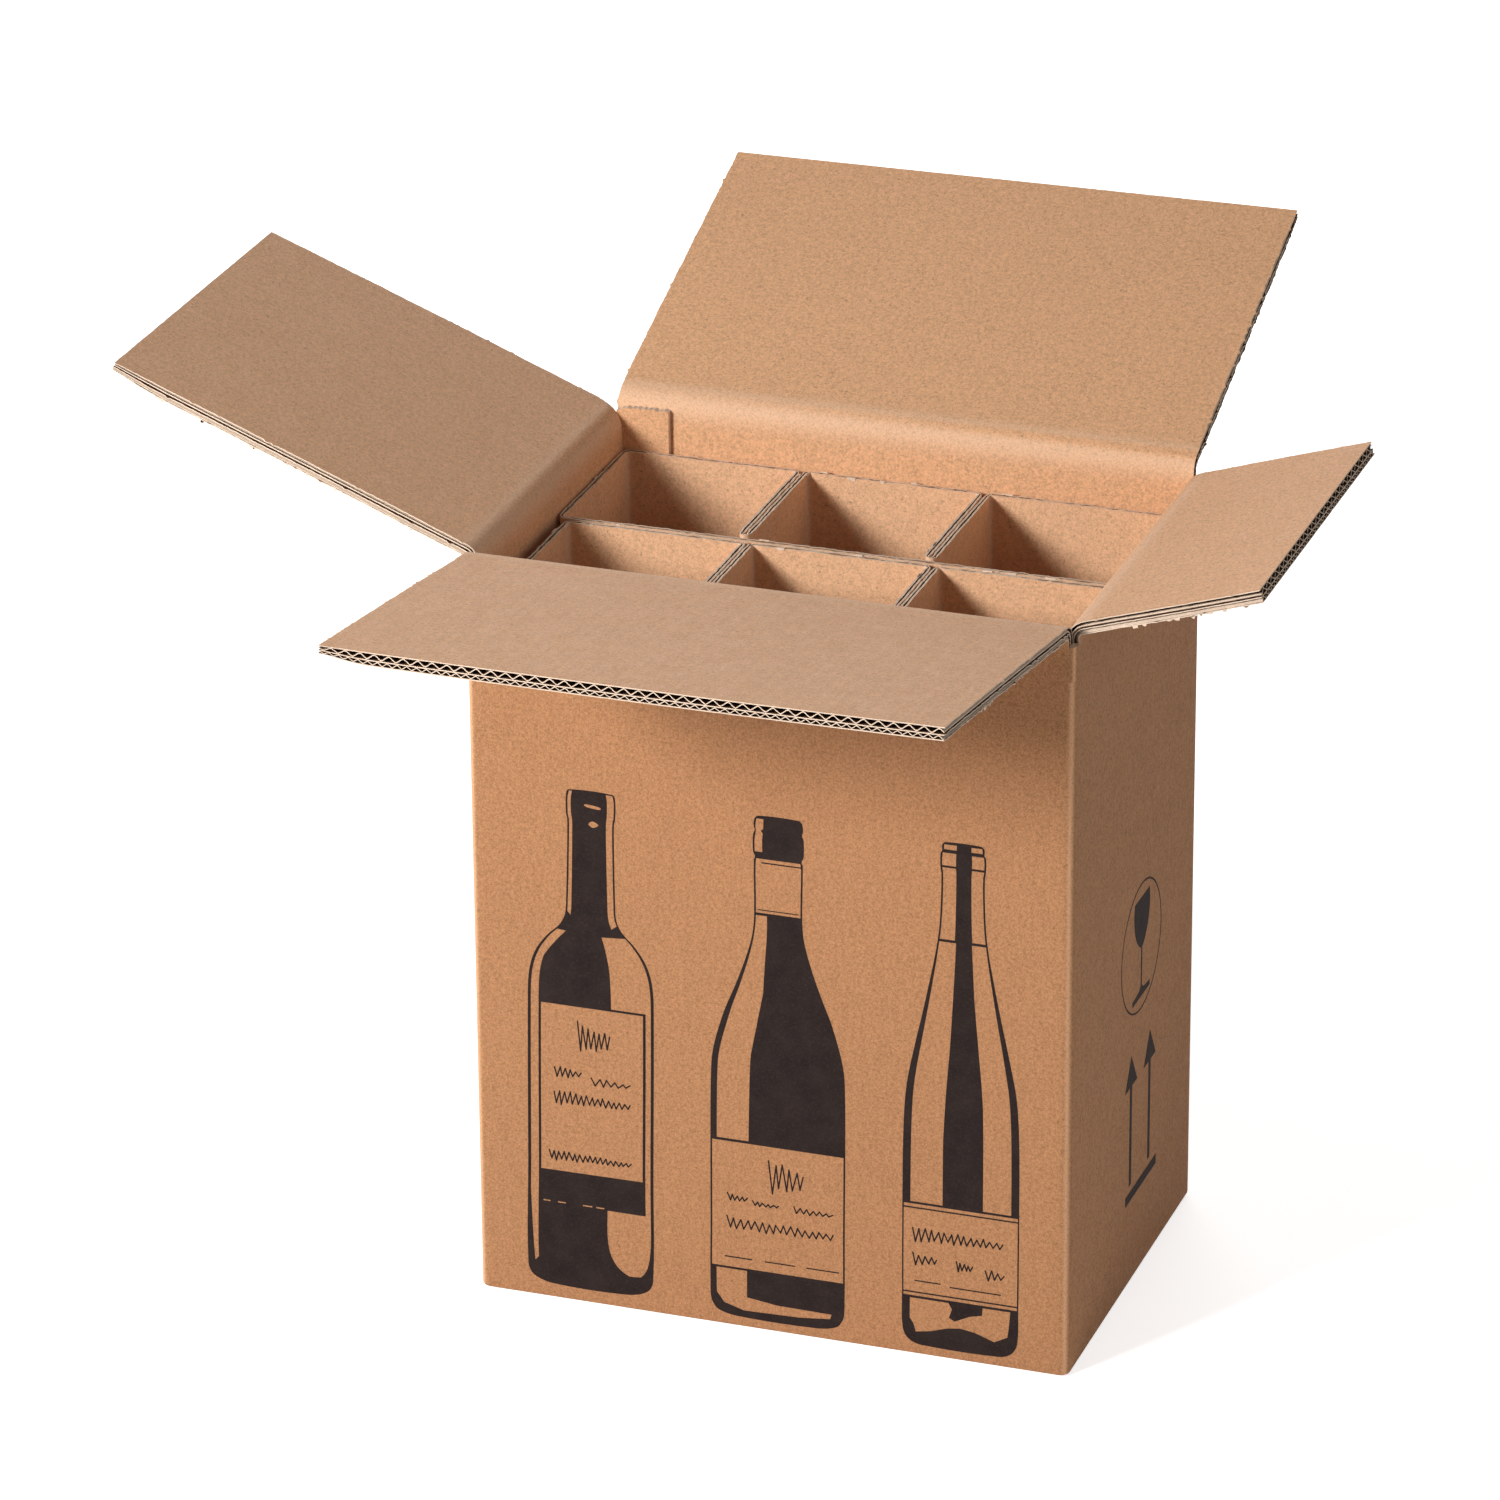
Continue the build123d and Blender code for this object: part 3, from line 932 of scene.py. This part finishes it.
def colour(red, green, blue):
    """A colour told as in a picture, from 0 to 255, in the renderer's own values."""
    linear = []
    for part in (red / 255, green / 255, blue / 255):
        linear.append(part / 12.92 if part <= 0.04045 else ((part + 0.055) / 1.055) ** 2.4)
    return (*linear, 1.0)


def scaled(tone, factor):
    return tuple(min(1.0, c * factor) for c in tone[:3]) + (1.0,)


def kraft(name, tone, rubbed_and_lit, lines, pitch, gloss, grain):
    """Kraft paper: clouds, fibres and specks, with the flutes showing through as faint lines."""
    nodes = Nodes(name)
    clouds = nodes.noise(14, 3, 0.55)
    blotch = nodes.noise(90, 3, 0.6)
    mottles = nodes.noise(500, 3, 0.7)
    grains = nodes.noise(1100, 2, 0.6)
    fibres = nodes.noise(420, 3, 0.65, stretch=(1.0, 1.0, 0.16))
    dots = nodes.noise(620, 1, 0.5)
    wear_and_shading = nodes.node("ShaderNodeAttribute", attribute_name="wear_and_shading").outputs["Fac"]
    across = nodes.node("ShaderNodeAttribute", attribute_name="across").outputs["Fac"]
    wave = nodes.math("SINE", nodes.math("MULTIPLY", across, 2 * math.pi / (pitch * MM)))
    ridge = nodes.math("MULTIPLY", wave, nodes.math("SUBTRACT", 1.0, wear_and_shading, clamp=True))
    shade = nodes.mix(nodes.spread(clouds, 0.3, 0.7), scaled(tone, 0.955), scaled(tone, 1.045))
    for value, low, high, share, factor in (
        (blotch, 0.3, 0.7, 0.35, 0.88),
        (fibres, 0.35, 0.65, 0.45, 1 + 0.17 * grain),
        (mottles, 0.36, 0.64, 0.75, 1 - 0.22 * grain),
        (grains, 0.42, 0.62, 0.5, 1 + 0.25 * grain),
        (dots, 0.68, 0.74, 0.6, 0.42),
        (dots, 0.31, 0.25, 0.5, 1.4),
        (ridge, -1.0, 1.0, lines, 0.82),
    ):
        shade = nodes.mix(nodes.spread(value, low, high, 0.0, share), shade, scaled(tone, factor))
    # Rubbed and crushed fibres in a lighter tone, which also paints highlights on the folds and the
    # carton's corners
    rub_and_highlight = nodes.math("MULTIPLY", wear_and_shading, nodes.spread(grains, 0.3, 0.6, 0.35, 0.8))
    shade = nodes.mix(rub_and_highlight, shade, rubbed_and_lit)
    # Painted shade in the folds' scores, where the value is below zero
    shade = nodes.mix(nodes.spread(wear_and_shading, 0.0, -0.5, 0.0, 0.4), shade, scaled(tone, 0.7))
    fine = nodes.math("ADD", nodes.math("MULTIPLY", grains, 0.6), nodes.math("MULTIPLY", fibres, 0.5))
    flutes = nodes.bump(ridge, 1.5 * lines, 0.00015)
    nodes.link(shade, "Base Color")
    nodes.link(nodes.bump(fine, 0.35, 0.00018, flutes), "Normal")
    nodes.link(nodes.spread(blotch, 0.3, 0.7, 0.66, 0.76), "Roughness")
    nodes.set("Specular IOR Level", gloss)
    nodes.set("Sheen Weight", 0.2 * gloss)
    nodes.set("Sheen Roughness", 0.5)
    return nodes.material


def paper_edge(name, tone, dark, light):
    """Torn or cut paper seen on edge, or raw paper inside the board."""
    nodes = Nodes(name)
    grains = nodes.noise(1100, 3, 0.65)
    blotch = nodes.noise(160, 3, 0.6)
    shade = nodes.mix(nodes.spread(blotch, 0.3, 0.7), scaled(tone, dark), scaled(tone, light))
    shade = nodes.mix(nodes.spread(grains, 0.4, 0.7, 0.0, 0.6), shade, scaled(tone, 0.72))
    nodes.link(shade, "Base Color")
    nodes.link(nodes.bump(grains, 0.5, 0.0002), "Normal")
    nodes.set("Roughness", 0.95)
    nodes.set("Specular IOR Level", 0.15)
    return nodes.material


def printing_ink():
    """Dark ink that has sunk into the paper: its fibres and a few bare specks show."""
    nodes = Nodes("ink")
    blotch = nodes.noise(90, 3, 0.6)
    grains = nodes.noise(900, 2, 0.6)
    shade = nodes.mix(nodes.spread(blotch, 0.3, 0.7), colour(34, 26, 25), colour(44, 35, 33))
    shade = nodes.mix(nodes.spread(grains, 0.52, 0.72, 0.0, 0.5), shade, colour(62, 47, 41))
    nodes.link(shade, "Base Color")
    nodes.link(nodes.bump(grains, 0.35, 0.00015), "Normal")
    nodes.set("Roughness", 0.8)
    nodes.set("Specular IOR Level", 0.1)
    return nodes.material


inner_kraft = kraft(
    "kraft_inside", colour(220, 169, 127), colour(232, 196, 165),
    lines=0.1, pitch=coarse_pitch, gloss=0.2, grain=1.6,
)
outer_kraft = kraft(
    "kraft_outside", colour(171, 123, 86), colour(224, 172, 130),
    lines=0.02, pitch=fine_pitch, gloss=0.1, grain=1.8,
)
divider_kraft = kraft(
    "kraft_divider", colour(222, 176, 137), colour(233, 196, 164),
    lines=0.04, pitch=divider_pitch, gloss=0.2, grain=1.35,
)
cut_paper = paper_edge("paper_cut", colour(234, 208, 184), 0.9, 1.05)
# Raw paper inside the board, darker than the paper's own colour: painted shade for the deep flutes
shaded_raw_paper = paper_edge("paper_raw_shaded", colour(84, 57, 39), 0.85, 1.1)
divider_core = paper_edge("paper_core", colour(152, 112, 82), 0.85, 1.1)
board_materials = [inner_kraft, outer_kraft, cut_paper, shaded_raw_paper]
divider_materials = [divider_kraft, divider_kraft, cut_paper, divider_core]

walls = carton_walls(board_materials)
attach(walls, "carton")
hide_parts("carton_body")

# A warp lifts a flap by its place along the fold, -1 to 1, and out from it, 0 to 1.
# A crush is a corner's side, its reach, and how much it flattens the board.
folds = {
    "front": Fold(
        "front", (0, -1, 0), radius=11,
        warp=lambda along, out: -1.2 * out * out + 0.8 * out * along * along, crush=(-1, 14, 0.4),
    ),
    "back": Fold(
        "back", (0, 1, 0), radius=14,
        warp=lambda along, out: 1.5 * out * (1 - out) + 0.6 * out * along, crush=(1, 12, 0.3),
    ),
    "left": Fold(
        "left", (-1, 0, 0), radius=13,
        warp=lambda along, out: out * (1 - out) - 0.5 * out * along, crush=(-1, 16, 0.35),
    ),
    "right": Fold(
        "right", (1, 0, 0), radius=12,
        warp=lambda along, out: 0.8 * out * (1 - out) * along,
    ),
}
relief_depth = 3.2
relief_reach = 6
for seed, (side, fold) in enumerate(folds.items()):
    relief = None
    if side == "left":
        relief = (relief_depth, fold.arc_to - relief_reach, fold.arc_to + relief_reach)
    piece = flap_piece("flap_board_" + side, fold, board_materials, 300 * seed + 11, relief)
    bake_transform(piece)
    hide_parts("flap_" + side)

for side, seed in (("back", 71), ("front", 83)):
    low, high = (TO_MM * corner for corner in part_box(f"divider_{side}_row"))
    piece = divider_piece("divider_board_" + side, low, high, divider_materials, seed)
    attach(piece, "carton")
    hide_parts(f"divider_{side}_row")


def on_front(flat, height):
    """Flat points placed at a height above the front wall."""
    return np.column_stack([flat[:, 0], np.full(len(flat), -half_depth - height), flat[:, 1]])


def on_right(flat, height):
    """Flat points placed at a height above the right wall."""
    return np.column_stack([np.full(len(flat), half_width + height), flat])


front = Print()
claret_bottle(front)
burgundy_bottle(front)
hock_bottle(front)
right = Print()
side_figures(right)
ink = printing_ink()
for name, sheet, place in (("print_front", front, on_front), ("print_right", right, on_right)):
    piece = sheet.make(name, place, ink)
    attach(piece, "carton")


def seen_rays(tree):
    """1 for rays by which the camera sees a surface, also in gloss or through glass, else 0."""
    path = tree.nodes.new("ShaderNodeLightPath").outputs
    seen = path["Is Camera Ray"]
    for ray in ("Is Glossy Ray", "Is Transmission Ray"):
        either = tree.nodes.new("ShaderNodeMath")
        either.operation = "MAXIMUM"
        tree.links.new(seen, either.inputs[0])
        tree.links.new(path[ray], either.inputs[1])
        seen = either.outputs[0]
    return seen


def make_floor():
    """A pale floor that keeps the shadow near the carton and is seen as white farther out."""
    near_glow = 0.7
    near = 0.7
    far = 2.0
    half_size = 6
    clearance = 0.0005
    nodes = Nodes("floor")
    clouds = nodes.spread(nodes.noise(3, 2, 0.5), 0.3, 0.7)
    nodes.link(nodes.mix(clouds, (0.93, 0.93, 0.93, 1), (0.96, 0.96, 0.96, 1)), "Base Color")
    nodes.set("Roughness", 0.9)
    nodes.set("Emission Color", (1, 1, 1, 1))
    length = nodes.node("ShaderNodeVectorMath", {0: nodes.place}, operation="LENGTH")
    glow = nodes.spread(length.outputs["Value"], near, far, near_glow, 1.0)
    nodes.link(nodes.math("MULTIPLY", seen_rays(nodes.tree), glow), "Emission Strength")
    work = bmesh.new()
    bmesh.ops.create_grid(work, x_segments=8, y_segments=8, size=half_size)
    mesh = bpy.data.meshes.new("floor")
    work.to_mesh(mesh)
    work.free()
    mesh.materials.append(nodes.material)
    floor = in_scene("floor", mesh)
    floor.location.z = -clearance


def area_light(name, place, size, power):
    """A soft lamp that faces the middle of the carton."""
    data = bpy.data.lights.new(name, "AREA")
    data.shape = "RECTANGLE"
    data.size, data.size_y = size
    data.energy = power
    lamp = in_scene(name, data)
    lamp.location = place
    toward = Vector((0, 0, 0.3)) - Vector(place)
    lamp.rotation_euler = toward.to_track_quat("-Z", "Y").to_euler()


def make_world(ambient):
    """A white backdrop that lights the carton only faintly."""
    world = bpy.data.worlds.new("studio")
    bpy.context.scene.world = world
    world.use_nodes = True
    tree = world.node_tree
    shown = tree.nodes.new("ShaderNodeBackground")
    lit = tree.nodes["Background"]
    for background in (shown, lit):
        background.inputs["Color"].default_value = (1, 1, 1, 1)
    lit.inputs["Strength"].default_value = ambient
    mix = tree.nodes.new("ShaderNodeMixShader")
    for socket, value in zip(mix.inputs, (seen_rays(tree), lit.outputs[0], shown.outputs[0])):
        tree.links.new(value, socket)
    tree.links.new(mix.outputs[0], tree.nodes["World Output"].inputs["Surface"])


def make_camera():
    """The view from the right of the front, a little above, through a long lens."""
    distance = 3.8678
    aim = Vector((0, 0, 0.2))
    shift_left = 0.0442
    shift_up = 0.0658
    azimuth, elevation, roll = (math.radians(angle) for angle in (19.4, 23.54, -0.45))
    level = math.cos(elevation)
    toward = Vector((math.sin(azimuth) * level, -math.cos(azimuth) * level, math.sin(elevation)))
    right = Vector((math.cos(azimuth), math.sin(azimuth), 0))
    up = right.cross(-toward)
    right_rolled = math.cos(roll) * right + math.sin(roll) * up
    up_rolled = math.cos(roll) * up - math.sin(roll) * right
    place = aim + toward * distance - right_rolled * shift_left + up_rolled * shift_up
    data = bpy.data.cameras.new("camera")
    data.lens = 185.3
    data.sensor_width = 36
    data.clip_end = 50
    camera = in_scene("camera", data)
    turn = Matrix((right_rolled, up_rolled, toward)).transposed().to_4x4()
    camera.matrix_world = Matrix.Translation(place) @ turn
    bpy.context.scene.camera = camera


make_floor()
area_light("key", (-1.5, -2.4, 1.6), (0.7, 0.7), 102)
area_light("back", (-0.8, 2.8, 1.4), (2.4, 1.4), 36)
area_light("right", (3.0, -0.8, 1.5), (2.0, 2.0), 15)
make_world(0.09)
make_camera()
bpy.context.scene.view_settings.view_transform = "Standard"
